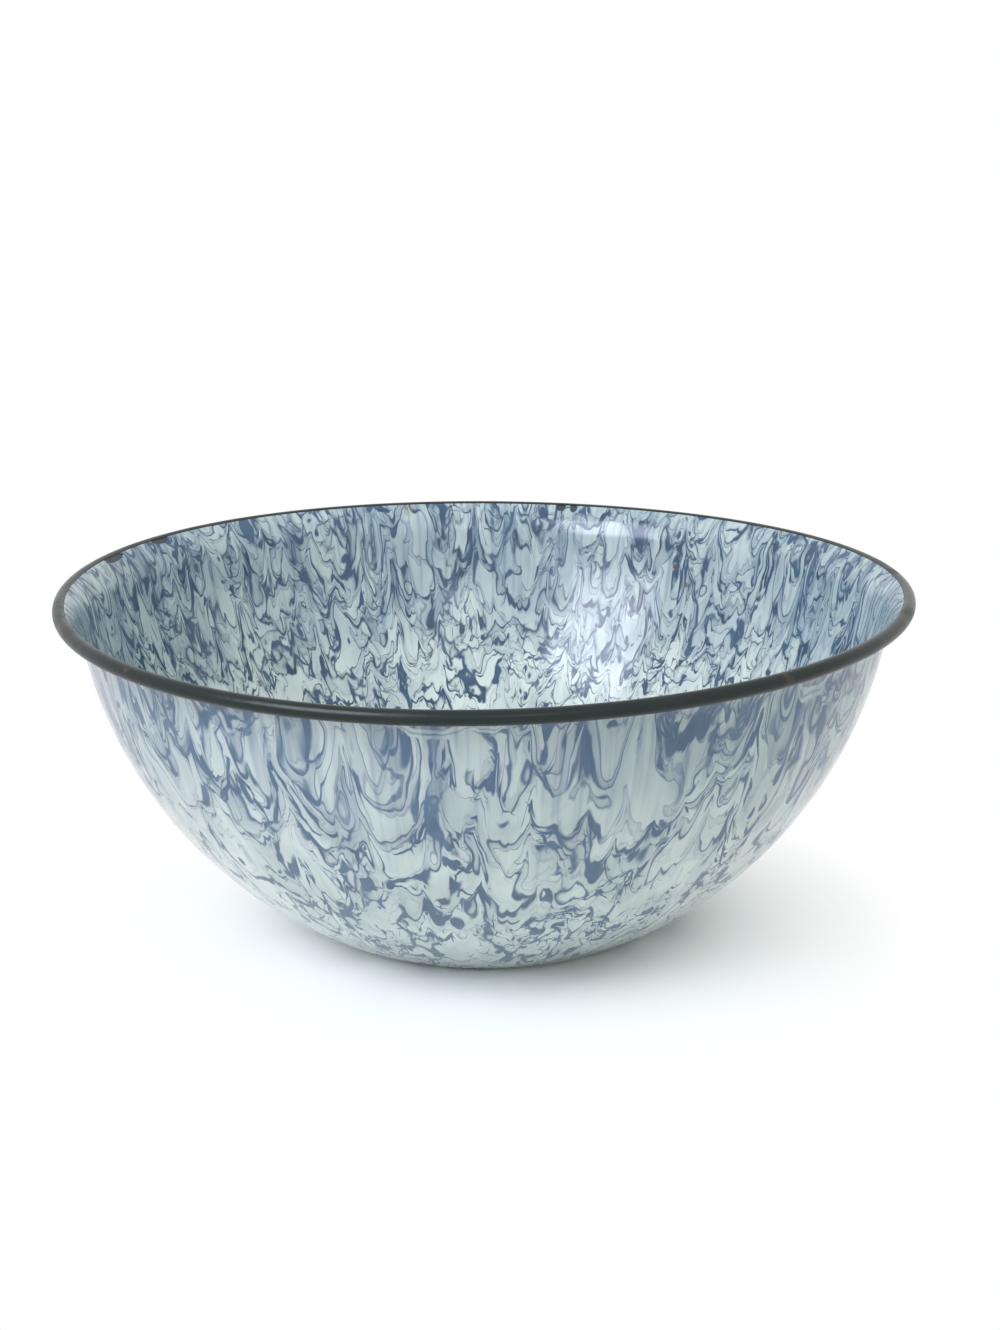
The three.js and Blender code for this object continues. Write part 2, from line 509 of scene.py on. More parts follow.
cutters = []
for number, (angle, below_edge, width, height) in enumerate(chips):
    place, up, inwards = on_inner_wall(angle, below_edge)
    bpy.ops.object.select_all(action="DESELECT")
    bpy.ops.mesh.primitive_ico_sphere_add(subdivisions=3, radius=0.5)
    cutter = bpy.context.object
    bpy.ops.object.mode_set(mode="EDIT")
    bpy.ops.transform.vertex_random(offset=raggedness, uniform=0.6, seed=number + first_seed)
    size = (width * mm, height * mm, cutter_depth * mm)
    bpy.ops.transform.resize(value=size, center_override=(0, 0, 0))
    bpy.ops.object.mode_set(mode="OBJECT")
    cutter.matrix_world = Matrix((up.cross(inwards), up, inwards)).transposed().to_4x4()
    cutter.location = place * mm
    cutters.append(cutter)
for cutter in cutters:
    apply_modifier(inner_swirl, "BOOLEAN", object=cutter, operation="DIFFERENCE", solver="EXACT")
    bpy.data.objects.remove(cutter)
print("chips:", len(chips), "- inner swirl has", len(inner_swirl.data.polygons), "faces")

# %% [markdown]
# ## The rim's warp
#
# A rim of thin sheet never stays quite flat: seen from the side, this one rises about a millimetre at
# two opposite places and dips between them. A lattice of eight corners round the whole bowl, with its
# upper corners moved up and down in turn, gives every layer the same gentle warp and leaves the base
# where it stands.

# %% Warp
warp = 1.17  # mm, up at the high places and down at the low ones
high_place = math.radians(157)
smooth_below = math.radians(35)  # faces that meet at less than this are shaded as one

bpy.ops.object.select_all(action="DESELECT")
bpy.ops.object.add(type="LATTICE", location=(0, 0, bowl_height / 2 * mm))
cage = bpy.context.object
cage.rotation_euler.z = high_place - math.pi / 4
cage.scale = (rim_diameter * mm, rim_diameter * mm, bowl_height * mm)
cage.data.interpolation_type_u = "KEY_LINEAR"
cage.data.interpolation_type_v = "KEY_LINEAR"
cage.data.interpolation_type_w = "KEY_LINEAR"
for corner_point in cage.data.points:
    x, y, z = corner_point.co
    if z > 0:
        corner_point.co_deform.z += math.copysign(2 * warp / bowl_height, x * y)
bowl_pieces = (steel_shell, rim_wire, inner_ground, outer_ground, inner_swirl, outer_swirl, bead)
for piece in bowl_pieces:
    apply_modifier(piece, "LATTICE", object=cage)
    bpy.ops.object.shade_smooth_by_angle(angle=smooth_below)
bpy.data.objects.remove(cage)
rim_points = [vertex.co.z / mm for vertex in bead.data.vertices]
print("highest point of the rim, mm: %.2f" % max(rim_points))

# %% [markdown]
# ## Swirl enamel
#
# Graniteware gets its look from two enamel slips, white and blue, that are stirred together only a
# little. The pressing is dipped and held so that the slip runs down it. White tongues hang in rounded
# loops, the blue is squeezed into the lines between them, and where the slips were stirred most, the
# blue lies in pools full of small white islands. A painted picture could hold all that, but a pattern
# in space needs no picture and fits every part of the wall.
#
# The pattern is built backwards. First each point of the wall is traced back to where its enamel was
# before it ran. A run is a set of hanging cells: the slip hangs lowest in the middle of a cell, and at
# the edges, where two tongues meet, the lines are drawn up to a point. The square of the distance to
# the nearest cell's centre has just that shape. The runs are long near the rim, short near the base and
# none on its flat, and eddies stir the traced place a little. All sizes are in millimetres.

# %% Drape of the slip
run_low, run_high = 5, 108  # heights on the wall between which the runs grow longer
run_growth = 1.2  # above 1, they grow fastest near the rim
flat_edge, wall_edge = 0.4 * base_radius, 1.2 * base_radius  # from the axis: no run, the whole run


def drape(tree, place, slip):
    """Trace a place back to before the run: height, place on the rim, old height and old place."""
    axes = add(tree, "SeparateXYZ", [place], output=None).outputs
    height = axes["Z"]
    flat = add(tree, "VectorMath", [place, (1, 1, 0)], operation="MULTIPLY")
    outwards = add(tree, "VectorMath", [flat], operation="NORMALIZE")
    on_rim = add(tree, "VectorMath", {0: outwards, "Scale": rim_diameter / 2}, operation="SCALE")
    share = add(tree, "MapRange", [height, run_low, run_high, 0, 1])
    share = add(tree, "Math", [share, run_growth], operation="POWER")
    from_axis = add(tree, "VectorMath", [flat], output="Value", operation="LENGTH")
    on_wall = add(tree, "MapRange", [from_axis, flat_edge, wall_edge, 0, 1],
                  interpolation_type="SMOOTHSTEP")
    seed = slip["seed"]
    size, reach = slip["sway"]
    sway = add(tree, "TexNoise", {"Vector": place, "W": seed + 5, "Scale": 1 / size, "Detail": 1.0},
               output="Color", noise_dimensions="4D")
    sway = add(tree, "VectorMath", [sway, (0.5, 0.5, 0.5)], operation="SUBTRACT")
    sway = add(tree, "VectorMath", {0: sway, "Scale": reach}, operation="SCALE")
    swayed = add(tree, "VectorMath", [on_rim, sway], operation="ADD")
    sunk = height
    for number, (width, length, run_at_rim, run_at_base) in enumerate(slip["runs"]):
        rise = add(tree, "Math", [height, 1 / length], operation="MULTIPLY")
        rise = add(tree, "CombineXYZ", {2: rise})
        spread = add(tree, "VectorMath", {0: swayed, "Scale": 1 / width}, operation="SCALE")
        spread = add(tree, "VectorMath", [spread, rise], operation="ADD")
        from_centre = add(tree, "TexVoronoi",
                          {"Vector": spread, "W": seed + 3.1 * number, "Scale": 1.0},
                          voronoi_dimensions="4D")
        hang = add(tree, "Math", [from_centre, 2.0], operation="POWER")
        run = add(tree, "MapRange", [share, 0, 1, run_at_base, run_at_rim])
        run = add(tree, "Math", [run, hang], operation="MULTIPLY")
        run = add(tree, "Math", [run, on_wall], operation="MULTIPLY")
        sunk = add(tree, "Math", [sunk, run], operation="SUBTRACT")
    squeeze = add(tree, "Math", [sunk, -slip["draw"], 1.0], operation="MULTIPLY_ADD")
    undrawn = add(tree, "Math", [sunk, squeeze], operation="MULTIPLY")
    traced = add(tree, "CombineXYZ", [axes["X"], axes["Y"], undrawn])
    for size, reach in slip["eddies"]:
        eddy = add(tree, "TexNoise",
                   {"Vector": traced, "W": seed + 9 + size, "Scale": 1 / size, "Detail": 1.0},
                   output="Color", noise_dimensions="4D")
        eddy = add(tree, "VectorMath", [eddy, (0.5, 0.5, 0.5)], operation="SUBTRACT")
        eddy = add(tree, "VectorMath", {0: eddy, "Scale": reach}, operation="SCALE")
        traced = add(tree, "VectorMath", [traced, eddy], operation="ADD")
    return height, on_rim, sunk, traced


# %% [markdown]
# The slip before the run has three sorts of blue. Folds are long lines: they lie where a cloud of noise
# crosses its middle value. Along one side of a fold lies a band of pale haze, which a second, fainter
# line closes. Seams are the joints between blobs of white. Pools are what is left between small round
# islands. Some of them lie everywhere, and the finer ones only where the slip was stirred most. A vein
# swells and thins along its length, and ends where its width falls below nothing. The haze is thin near
# the base, where the slip ran least.

# %% Stirred patches and haze
calm_low, calm_high = 55, 95  # heights between which the stirring comes to what it is at the rim
haze_edge = 0.012  # in units of the noise, like the widths below
haze_left = 0.3  # of its strength, at the far side of a band
band_edge = 1.2  # where a band has faded out, in widths of the band
second_line, second_line_end = 0.003, 0.011


def stirred_share(tree, height, traced, slip):
    """How much the slip was stirred at each place, from 0 to 1."""
    wide, tall, calm_end, stirred_start = slip["stirred"]
    where = add(tree, "VectorMath", [traced, (1 / wide, 1 / wide, 1 / tall)], operation="MULTIPLY")
    patches = add(tree, "TexNoise",
                  {"Vector": where, "W": slip["seed"] + 90, "Scale": 1.0, "Detail": 1.0},
                  noise_dimensions="4D")
    stirred = add(tree, "MapRange", [patches, calm_end, stirred_start, 0, 1],
                  interpolation_type="SMOOTHSTEP")
    calmer = add(tree, "MapRange", [height, calm_low, calm_high, 1, slip["stirred_at_rim"]],
                 interpolation_type="SMOOTHSTEP")
    return add(tree, "Math", [stirred, calmer], operation="MULTIPLY")


def beside_fold(tree, level, vein):
    """The haze along one side of a fold, with the fainter line that closes it."""
    band, strength = vein["band"], vein["haze"]
    beside = add(tree, "MapRange", [level, 0, band, strength, haze_left * strength])
    before = add(tree, "MapRange", [level, -haze_edge, 0, 0, 1], interpolation_type="SMOOTHSTEP")
    after = add(tree, "MapRange", [level, band, band_edge * band, 1, 0], interpolation_type="SMOOTHSTEP")
    beside = add(tree, "Math", [beside, before], operation="MULTIPLY")
    beside = add(tree, "Math", [beside, after], operation="MULTIPLY")
    off_band = add(tree, "Math", [level, band], operation="SUBTRACT")
    off_band = add(tree, "Math", [off_band], operation="ABSOLUTE")
    second = add(tree, "MapRange", [off_band, second_line, second_line_end, vein["second"], 0],
                 interpolation_type="SMOOTHSTEP")
    return add(tree, "Math", [beside, second], operation="MAXIMUM")


# %% Veins in the slip
haze_low, haze_high = 25, 85  # heights between which the haze comes up
haze_at_base = 0.20
vein_low, vein_high = 25, 105  # heights at which a vein has its share at the base, and at the rim
no_line, no_pool = -0.04, -1.2  # widths at which nothing is left of a line or of a pool
island_softness = 0.25  # how far neighbouring islands melt into each other


def veins(tree, height, traced, slip):
    """How blue each place is, and how much of a pale haze lies beside the blue."""
    stirred = stirred_share(tree, height, traced, slip)
    hazy = add(tree, "MapRange", [height, haze_low, haze_high, haze_at_base, 1],
               interpolation_type="SMOOTHSTEP")
    blue, haze = 0.0, 0.0
    for number, vein in enumerate(slip["veins"]):
        seed = slip["seed"] + 10 * number
        wide, tall = vein["blob"]
        where = add(tree, "VectorMath", [traced, (1 / wide, 1 / wide, 1 / tall)], operation="MULTIPLY")
        moved = (seed, 2.3 * seed, 0.7 * seed)  # these cells take no seed, so they are moved instead
        share_at_base, share_at_rim = vein.get("share", (1, 1))
        present = add(tree, "MapRange", [height, vein_low, vein_high, share_at_base, share_at_rim])
        if vein.get("stirred"):
            present = add(tree, "Math", [present, stirred], operation="MULTIPLY")
        absent = no_line
        if vein["kind"] == "fold":
            cloud = add(tree, "TexNoise",
                        {"Vector": where, "W": seed + 2, "Scale": 1.0, "Detail": 1.5, "Roughness": 0.45},
                        noise_dimensions="4D")
            level = add(tree, "Math", [cloud, 0.5], operation="SUBTRACT")
            distance = add(tree, "Math", [level], operation="ABSOLUTE")
            beside = beside_fold(tree, level, vein)
            beside = add(tree, "Math", [beside, present], operation="MULTIPLY")
            beside = add(tree, "Math", [beside, hazy], operation="MULTIPLY")
            haze = add(tree, "Math", [haze, beside], operation="MAXIMUM")
        elif vein["kind"] == "seam":
            where = add(tree, "VectorMath", [where, moved], operation="ADD")
            distance = add(tree, "TexVoronoi", {"Vector": where, "Scale": 1.0},
                           feature="DISTANCE_TO_EDGE")
        else:
            where = add(tree, "VectorMath", [where, moved], operation="ADD")
            from_centre = add(tree, "TexVoronoi",
                              {"Vector": where, "Scale": 1.0, "Smoothness": island_softness},
                              feature="SMOOTH_F1")
            distance = add(tree, "Math", [0.0, from_centre], operation="SUBTRACT")
            absent = no_pool
        swell = add(tree, "TexNoise",
                    {"Vector": traced, "W": seed + 1, "Scale": 1 / vein["swell_size"], "Detail": 1.0},
                    noise_dimensions="4D")
        width = add(tree, "MapRange", [swell, *vein["swell"], *vein["width"]],
                    interpolation_type="SMOOTHSTEP")
        width = add(tree, "MapRange", [present, 0, 1, absent, width])
        depth = add(tree, "Math", [width, distance], operation="SUBTRACT")
        line = add(tree, "MapRange", [depth, -vein["soft"], vein["soft"], 0, 1],
                   interpolation_type="SMOOTHSTEP")
        blue = add(tree, "Math", [blue, line], operation="MAXIMUM")
    return blue, haze


# %% [markdown]
# Right under the rim, the last of the slip hung back as the bowl was turned over. Swags of streaky blue
# hang there, each with a white border and a pale line of lace, and they cover whatever lies under them.

# %% Swags under the rim
least_hang = 0.1  # mm, between two swags
uneven_size, unevenness = 5.0, 0.12
streak_width, streak_length = 2.2, 9.0
# parts of a swag by their depth, which is 0 at its top and 1 at its lower edge
pocket_start, pocket_end = 0.50, 0.60  # the streaky blue fades out between these
pocket_haze = 0.5  # how pale it is between its streaks
lace_depth, lace_core, lace_end, lace_strength = 0.80, 0.02, 0.07, 0.5
border_start, border_end = 0.95, 1.05  # below these, what lies under the swag shows again


def swags(tree, place, height, on_rim, slip, blue, haze):
    """Hang the swags over the veins and their haze."""
    seed = slip["seed"] + 50
    spacing, deepest, top = slip["swags"]
    along_rim = add(tree, "TexNoise",
                    {"Vector": on_rim, "W": seed, "Scale": 1 / spacing, "Detail": 0.0},
                    noise_dimensions="4D")
    hang = add(tree, "MapRange", [along_rim, 0.52, 0.74, least_hang, deepest],
               interpolation_type="SMOOTHSTEP")
    uneven = add(tree, "TexNoise",
                 {"Vector": place, "W": seed + 1, "Scale": 1 / uneven_size, "Detail": 1.0},
                 noise_dimensions="4D")
    uneven = add(tree, "MapRange", [uneven, 0.3, 0.7, -unevenness, unevenness])
    below = add(tree, "Math", [top, height], operation="SUBTRACT")
    depth = add(tree, "Math", [below, hang], operation="DIVIDE")
    depth = add(tree, "Math", [depth, uneven], operation="ADD")
    pocket = add(tree, "MapRange", [depth, pocket_start, pocket_end, 1, 0],
                 interpolation_type="SMOOTHSTEP")
    lace = add(tree, "Math", [depth, lace_depth], operation="SUBTRACT")
    lace = add(tree, "Math", [lace], operation="ABSOLUTE")
    lace = add(tree, "MapRange", [lace, lace_core, lace_end, lace_strength, 0],
               interpolation_type="SMOOTHSTEP")
    clear = add(tree, "MapRange", [depth, border_start, border_end, 0, 1],
                interpolation_type="SMOOTHSTEP")
    streaks = (1 / streak_width, 1 / streak_width, 1 / streak_length)
    fall = add(tree, "VectorMath", [place, streaks], operation="MULTIPLY")
    streaky = add(tree, "TexNoise", {"Vector": fall, "W": seed + 2, "Scale": 1.0, "Detail": 2.0},
                  noise_dimensions="4D")
    streaky = add(tree, "MapRange", [streaky, 0.42, 0.58, 0, 1], interpolation_type="SMOOTHSTEP")
    filled = add(tree, "Math", [pocket, streaky], operation="MULTIPLY")
    pale = add(tree, "Math", [pocket, pocket_haze], operation="MULTIPLY")
    blue = add(tree, "Math", [blue, clear], operation="MULTIPLY")
    blue = add(tree, "Math", [blue, filled], operation="MAXIMUM")
    haze = add(tree, "Math", [haze, clear], operation="MULTIPLY")
    haze = add(tree, "Math", [haze, lace], operation="MAXIMUM")
    haze = add(tree, "Math", [haze, pale], operation="MAXIMUM")
    return blue, haze


# %% [markdown]
# The colours are those of the two slips. The white is a cool grey-white that clouds a little and turns
# cooler and darker towards the rim. Fine pale streaks run down it there, and the blue is deeper in
# some places than in others.

# %% Colours of the swirl
# towards the rim the white goes over to cool white, so the upper wall is darker
darken_low, darken_high = 35, 100  # heights between which the white thins
darkest_at_rim = 0.66  # the share of cool white that this brings in at the rim
cloudiness = 0.5  # the share that the clouds bring in
least_streak = 0.3  # strength of a streak outside the clouds
streaks_low, streaks_high = 20, 105  # heights between which the streaks come up
cloud_size, dense_size = 16.0, 7.0


def swirl_colour(tree, place, slip):
    """The colour of the swirl at a place, which is given in millimetres."""
    seed = slip["seed"]
    height, on_rim, sunk, traced = drape(tree, place, slip)
    blue, haze = veins(tree, height, traced, slip)
    if "swags" in slip:
        blue, haze = swags(tree, place, height, on_rim, slip, blue, haze)
    cloud = add(tree, "TexNoise",
                {"Vector": traced, "W": seed + 70, "Scale": 1 / cloud_size, "Detail": 3.0},
                noise_dimensions="4D")
    cloud = add(tree, "MapRange", [cloud, 0.40, 0.65, 0, cloudiness])
    darker_to_rim = add(tree, "MapRange", [height, darken_low, darken_high, 0, darkest_at_rim],
                  interpolation_type="SMOOTHSTEP")
    cloud = add(tree, "Math", [cloud, darker_to_rim], operation="ADD", use_clamp=True)
    width, length, strength = slip["streaks"]
    fall = add(tree, "Math", [sunk, 1 / length], operation="MULTIPLY")
    fall = add(tree, "CombineXYZ", {2: fall})
    spread = add(tree, "VectorMath", {0: on_rim, "Scale": 1 / width}, operation="SCALE")
    spread = add(tree, "VectorMath", [spread, fall], operation="ADD")
    streak = add(tree, "TexNoise", {"Vector": spread, "W": seed + 60, "Scale": 1.0, "Detail": 3.0},
                 noise_dimensions="4D")
    streak = add(tree, "MapRange", [streak, 0.45, 0.75, 0, strength], interpolation_type="SMOOTHSTEP")
    near_rim = add(tree, "MapRange", [height, streaks_low, streaks_high, 0, 1])
    streak = add(tree, "Math", [streak, near_rim], operation="MULTIPLY")
    patchy = add(tree, "Math", [cloud, least_streak], operation="ADD")
    streak = add(tree, "Math", [streak, patchy], operation="MULTIPLY")
    pale = add(tree, "Math", [streak, haze], operation="ADD", use_clamp=True)
    white = add(tree, "Mix", {0: cloud, 6: slip["white"], 7: slip["cool_white"]},
                output=2, data_type="RGBA")
    white = add(tree, "Mix", {0: pale, 6: white, 7: slip["blue"]}, output=2, data_type="RGBA")
    dense = add(tree, "TexNoise",
                {"Vector": traced, "W": seed + 80, "Scale": 1 / dense_size, "Detail": 2.0},
                noise_dimensions="4D")
    dense = add(tree, "MapRange", [dense, 0.35, 0.65, 0, 1])
    vein = add(tree, "Mix", {0: dense, 6: slip["blue"], 7: slip["deep_blue"]},
               output=2, data_type="RGBA")
    return add(tree, "Mix", {0: blue, 6: white, 7: vein}, output=2, data_type="RGBA")


# %% [markdown]
# The two sides of the bowl ran differently. Outside, the tongues are broad and long and the veins
# coarse. Inside, the same pattern is about two thirds of the size. Its white is painted lighter, to make
# up for the light that the inside wall lacks, and its blue is darker, partly a richer blue and partly
# painted shade for the inside of the bowl.
#
# Each slip is a table. Sway and eddies have a size and a reach. A run has the width and length of its
# cells, and how far it came down at the rim and at the base. Draw is how much the slip was stretched
# for each millimetre of height. Stirred gives the width and height of a patch, and the values of the
# noise between which it goes from calm to stirred, and its share at the rim follows. A vein has the
# width and height of its blobs, the size of its swellings and the noise values between which it swells,
# its width where it is thin and where it is swollen, the softness of its edge, and the share of it that
# is there at the base and at the rim, with its widths in units of its noise or cells. A fold also has
# the width and the strength of its haze, and the strength of its second line. Swags have a spacing, a
# depth and the height of their top, and streaks a width, a length and a strength.

# %% The two slips
outside_slip = {
    "seed": 57.0,
    "sway": (20.0, 8.0),
    "runs": [(15.0, 60.0, 60.0, 16.0), (6.0, 20.0, 10.0, 8.0)],
    "draw": 0.0030,
    "eddies": [(24.0, 10.0), (8.0, 4.0)],
    "stirred": (26.0, 15.0, 0.45, 0.56),
    "stirred_at_rim": 1.0,
    "veins": [
        {"kind": "fold", "blob": (24, 15), "swell_size": 9, "swell": (0.45, 0.75),
         "width": (0.010, 0.038), "soft": 0.010, "band": 0.062, "haze": 0.55, "second": 0.80},
        {"kind": "fold", "blob": (17, 12), "swell_size": 9, "swell": (0.45, 0.72),
         "width": (0.006, 0.040), "soft": 0.010, "band": 0.047, "haze": 0.40, "second": 0.55,
         "share": (0.6, 1)},
        {"kind": "fold", "blob": (11, 7), "swell_size": 6, "swell": (0.42, 0.75),
         "width": (0.012, 0.050), "soft": 0.014, "band": 0.050, "haze": 0.40, "second": 0.30,
         "share": (0.75, 1), "stirred": True},
        {"kind": "seam", "blob": (9, 8), "swell_size": 6, "swell": (0.42, 0.68),
         "width": (0.006, 0.075), "soft": 0.024, "stirred": True},
        {"kind": "pool", "blob": (5.5, 5.0), "swell_size": 8, "swell": (0.48, 0.72),
         "width": (-0.9, -0.38), "soft": 0.05, "share": (0.85, 1), "stirred": True},
        {"kind": "seam", "blob": (8, 7), "swell_size": 7, "swell": (0.42, 0.64),
         "width": (-0.038, 0.026), "soft": 0.02, "share": (1, -0.6)},
    ],
    "swags": (24.0, 10.0, 109.0),
    "streaks": (3.2, 45.0, 0.60),
    "white": "#BCC3C0", "cool_white": "#8D979A", "blue": "#4E6177", "deep_blue": "#3C5169",
}
inside_slip = {
    "seed": 41.0,
    "sway": (14.0, 6.0),
    "runs": [(10.0, 40.0, 36.0, 10.0), (4.2, 14.0, 6.5, 5.0)],
    "draw": 0.0028,
    "eddies": [(17.0, 7.0), (5.5, 2.8)],
    "stirred": (17.0, 10.0, 0.42, 0.56),
    "stirred_at_rim": 0.9,
    "veins": [
        {"kind": "fold", "blob": (15, 9), "swell_size": 6.5, "swell": (0.45, 0.75),
         "width": (0.010, 0.034), "soft": 0.012, "band": 0.065, "haze": 0.50, "second": 0.60},
        {"kind": "fold", "blob": (10, 7), "swell_size": 6, "swell": (0.45, 0.72),
         "width": (0.004, 0.037), "soft": 0.012, "band": 0.050, "haze": 0.38, "second": 0.45},
        {"kind": "fold", "blob": (8, 5.5), "swell_size": 4.5, "swell": (0.42, 0.75),
         "width": (0.012, 0.042), "soft": 0.016, "band": 0.055, "haze": 0.40, "second": 0.30,
         "share": (0.8, 1), "stirred": True},
        {"kind": "seam", "blob": (6.5, 6), "swell_size": 5, "swell": (0.42, 0.68),
         "width": (0.006, 0.065), "soft": 0.026, "share": (1, 0.7), "stirred": True},
        {"kind": "pool", "blob": (4.2, 3.8), "swell_size": 6, "swell": (0.49, 0.74),
         "width": (-0.9, -0.45), "soft": 0.06, "share": (0.85, 1), "stirred": True},
    ],
    "streaks": (2.4, 35.0, 0.50),
    # painted light and shade: the inside white is lighter and the inside blue darker than the outside's
    "white": "#CDD6D0", "cool_white": "#95A7AD", "blue": "#3A5671", "deep_blue": "#263F58",
}
print("veins outside: %d, inside: %d" % (len(outside_slip["veins"]), len(inside_slip["veins"])))

# %% [markdown]
# Fired enamel is a glass, so its surface is smooth and mirrors the room, but it never lies quite flat:
# it sags and pools by a few hundredths of a millimetre over a centimetre or two, which is what makes
# the edge of a reflection wavy. That is too shallow to see as a shape, so it is given as a bump. Years
# of use leave marks: rust where the enamel is pitted, a dark speck and a brown stain.

# %% Swirl enamel, dipped and fired
glass_ior = 1.52
sag_size, ripple_size, dull_size = 17.0, 5.0, 9.0
ripple_share = 0.16  # of the sag's depth
relief_depth = 0.22


def place_in_mm(tree):
    """Where a point lies on the bowl, in millimetres from its origin."""
    place = add(tree, "TexCoord", output="Object")
    return add(tree, "VectorMath", {0: place, "Scale": 1 / mm}, operation="SCALE")


def enamel_surface(tree, colour, place, roughness):
    """A fired enamel surface of a colour: glassy, and slightly uneven."""
    sag = add(tree, "TexNoise", {"Vector": place, "W": 5.0, "Scale": 1 / sag_size, "Detail": 1.0},
              noise_dimensions="4D")
    ripple = add(tree, "TexNoise", {"Vector": place, "W": 6.0, "Scale": 1 / ripple_size, "Detail": 1.0},
                 noise_dimensions="4D")
    ripple = add(tree, "Math", [ripple, ripple_share], operation="MULTIPLY")
    relief = add(tree, "Math", [sag, ripple], operation="ADD")
    bump = add(tree, "Bump", {"Strength": 1.0, "Distance": relief_depth * mm, "Height": relief})
    dulled = add(tree, "TexNoise", {"Vector": place, "W": 8.0, "Scale": 1 / dull_size, "Detail": 3.0},
                 noise_dimensions="4D")
    dulled = add(tree, "MapRange", [dulled, 0.35, 0.70, *roughness])
    surface = add(tree, "BsdfPrincipled",
                  {"Base Color": colour, "Roughness": dulled, "IOR": glass_ior, "Normal": bump})
    add(tree, "OutputMaterial", [surface], output=None)


def mark(tree, colour, place, centre, radius, stain, strength):
    """Lay a small round mark with a ragged edge on a colour."""
    core = 0.5 * radius  # full strength within this, and the edge moves in and out by as much
    distance = add(tree, "VectorMath", [place, centre], output="Value", operation="DISTANCE")
    ragged = add(tree, "TexNoise", {"Vector": place, "W": 31.0, "Scale": 1 / radius, "Detail": 2.0},
                 noise_dimensions="4D")
    ragged = add(tree, "MapRange", [ragged, 0.3, 0.7, -core, core])
    distance = add(tree, "Math", [distance, ragged], operation="ADD")
    share = add(tree, "MapRange", [distance, core, radius, strength, 0], interpolation_type="SMOOTHSTEP")
    return add(tree, "Mix", {0: share, 6: colour, 7: stain}, output=2, data_type="RGBA")


# %% Inside enamel
# angle round the axis, distance below the bead, radius, colour, strength
marks = [
    (56.2, 21.0, 1.5, "#424235", 0.9),
    (53.2, 21.4, 1.1, "#535649", 0.7),
    (53.8, 27.2, 1.2, "#4E4E40", 0.8),
    (78.2, 52.3, 0.7, "#1E2227", 1.0),
    (102.5, 3.0, 2.6, "#928B6C", 0.3),
]
inside_roughness = (0.12, 0.28)  # where it is shiny, and where use has dulled it
inside_enamel = bpy.data.materials.new("swirl_enamel_inside")
tree = new_tree(inside_enamel)
place = place_in_mm(tree)
colour = swirl_colour(tree, place, inside_slip)
for angle, below_edge, radius, stain, strength in marks:
    centre = on_inner_wall(angle, below_edge)[0]
    colour = mark(tree, colour, place, tuple(centre), radius, stain, strength)
enamel_surface(tree, colour, place, inside_roughness)
inner_swirl.data.materials.append(inside_enamel)
print("inside enamel:", len(tree.nodes), "nodes")

# %% [markdown]
# The outside is the same glass with its own slip. Its upper edge is black in places, where the bead's
# enamel ran down on to it before it was fired.

# %% Outside enamel
tuck_level = to_tuck[-1][0].y
run_size, longest_run, run_edge = 6.0, 1.2, 0.25  # of the black that ran down from the bead
outside_roughness = (0.10, 0.20)
outside_enamel = bpy.data.materials.new("swirl_enamel_outside")
tree = new_tree(outside_enamel)
place = place_in_mm(tree)
colour = swirl_colour(tree, place, outside_slip)
run = add(tree, "TexNoise", {"Vector": place, "W": 41.0, "Scale": 1 / run_size, "Detail": 3.0},
          noise_dimensions="4D")
run = add(tree, "MapRange", [run, 0.40, 0.75, 0, longest_run])
height = add(tree, "SeparateXYZ", [place], output="Z")
above = add(tree, "Math", [height, run], operation="ADD")
above = add(tree, "Math", [above, tuck_level], operation="SUBTRACT")
black_run = add(tree, "MapRange", [above, 0.0, run_edge, 0, 1])
colour = add(tree, "Mix", {0: black_run, 6: colour, 7: "#171A1C"}, output=2, data_type="RGBA")
enamel_surface(tree, colour, place, outside_roughness)
outer_swirl.data.materials.append(outside_enamel)
print("outside enamel:", len(tree.nodes), "nodes")

# %% [markdown]
# ## Black enamel
#
# The bead's enamel is brushed on by hand and takes every knock, so it is glossy with dull patches and
# two brown scuffs, and it is uneven enough to break up the bright line along its top. Wear has taken
# some of its shine, so it mirrors less than sound enamel does.

# %% Black enamel, brushed and fired
worn_size, brush_size = 14.0, 4.0
brush_depth = 0.12
worn_shine = 0.32  # sound glass has 0.5
bead_roughness = (0.28, 0.44)
scuff_angle = math.radians(35)  # up the front of the bead
bead_front = polar(roll_centre, bead_radius, scuff_angle)
bead_front = Vector((bead_front.x, 0, bead_front.y))
# angle round the axis, radius, colour, strength
bead_marks = [
    (-51.5, 2.2, "#322C29", 0.8),
    (-139, 1.4, "#3A2E29", 0.8),
]
black_enamel = bpy.data.materials.new("black_bead_enamel")
tree = new_tree(black_enamel)
place = place_in_mm(tree)
worn = add(tree, "TexNoise", {"Vector": place, "W": 51.0, "Scale": 1 / worn_size, "Detail": 4.0},
           noise_dimensions="4D")
worn = add(tree, "MapRange", [worn, 0.52, 0.72, 0, 1])
colour = add(tree, "Mix", {0: worn, 6: "#101C1B", 7: "#18201F"}, output=2, data_type="RGBA")
for angle, radius, stain, strength in bead_marks:
    centre = Quaternion((0, 0, 1), math.radians(angle)) @ bead_front
    colour = mark(tree, colour, place, tuple(centre), radius, stain, strength)
dulled = add(tree, "MapRange", [worn, 0, 1, *bead_roughness])
brushed = add(tree, "TexNoise", {"Vector": place, "W": 52.0, "Scale": 1 / brush_size, "Detail": 3.0},
              noise_dimensions="4D")
bump = add(tree, "Bump", {"Strength": 1.0, "Distance": brush_depth * mm, "Height": brushed})
surface = add(tree, "BsdfPrincipled",
              {"Base Color": colour, "Roughness": dulled, "IOR": glass_ior,
               "Specular IOR Level": worn_shine, "Normal": bump})
add(tree, "OutputMaterial", [surface], output=None)
bead.data.materials.append(black_enamel)
print("black enamel:", len(tree.nodes), "nodes")

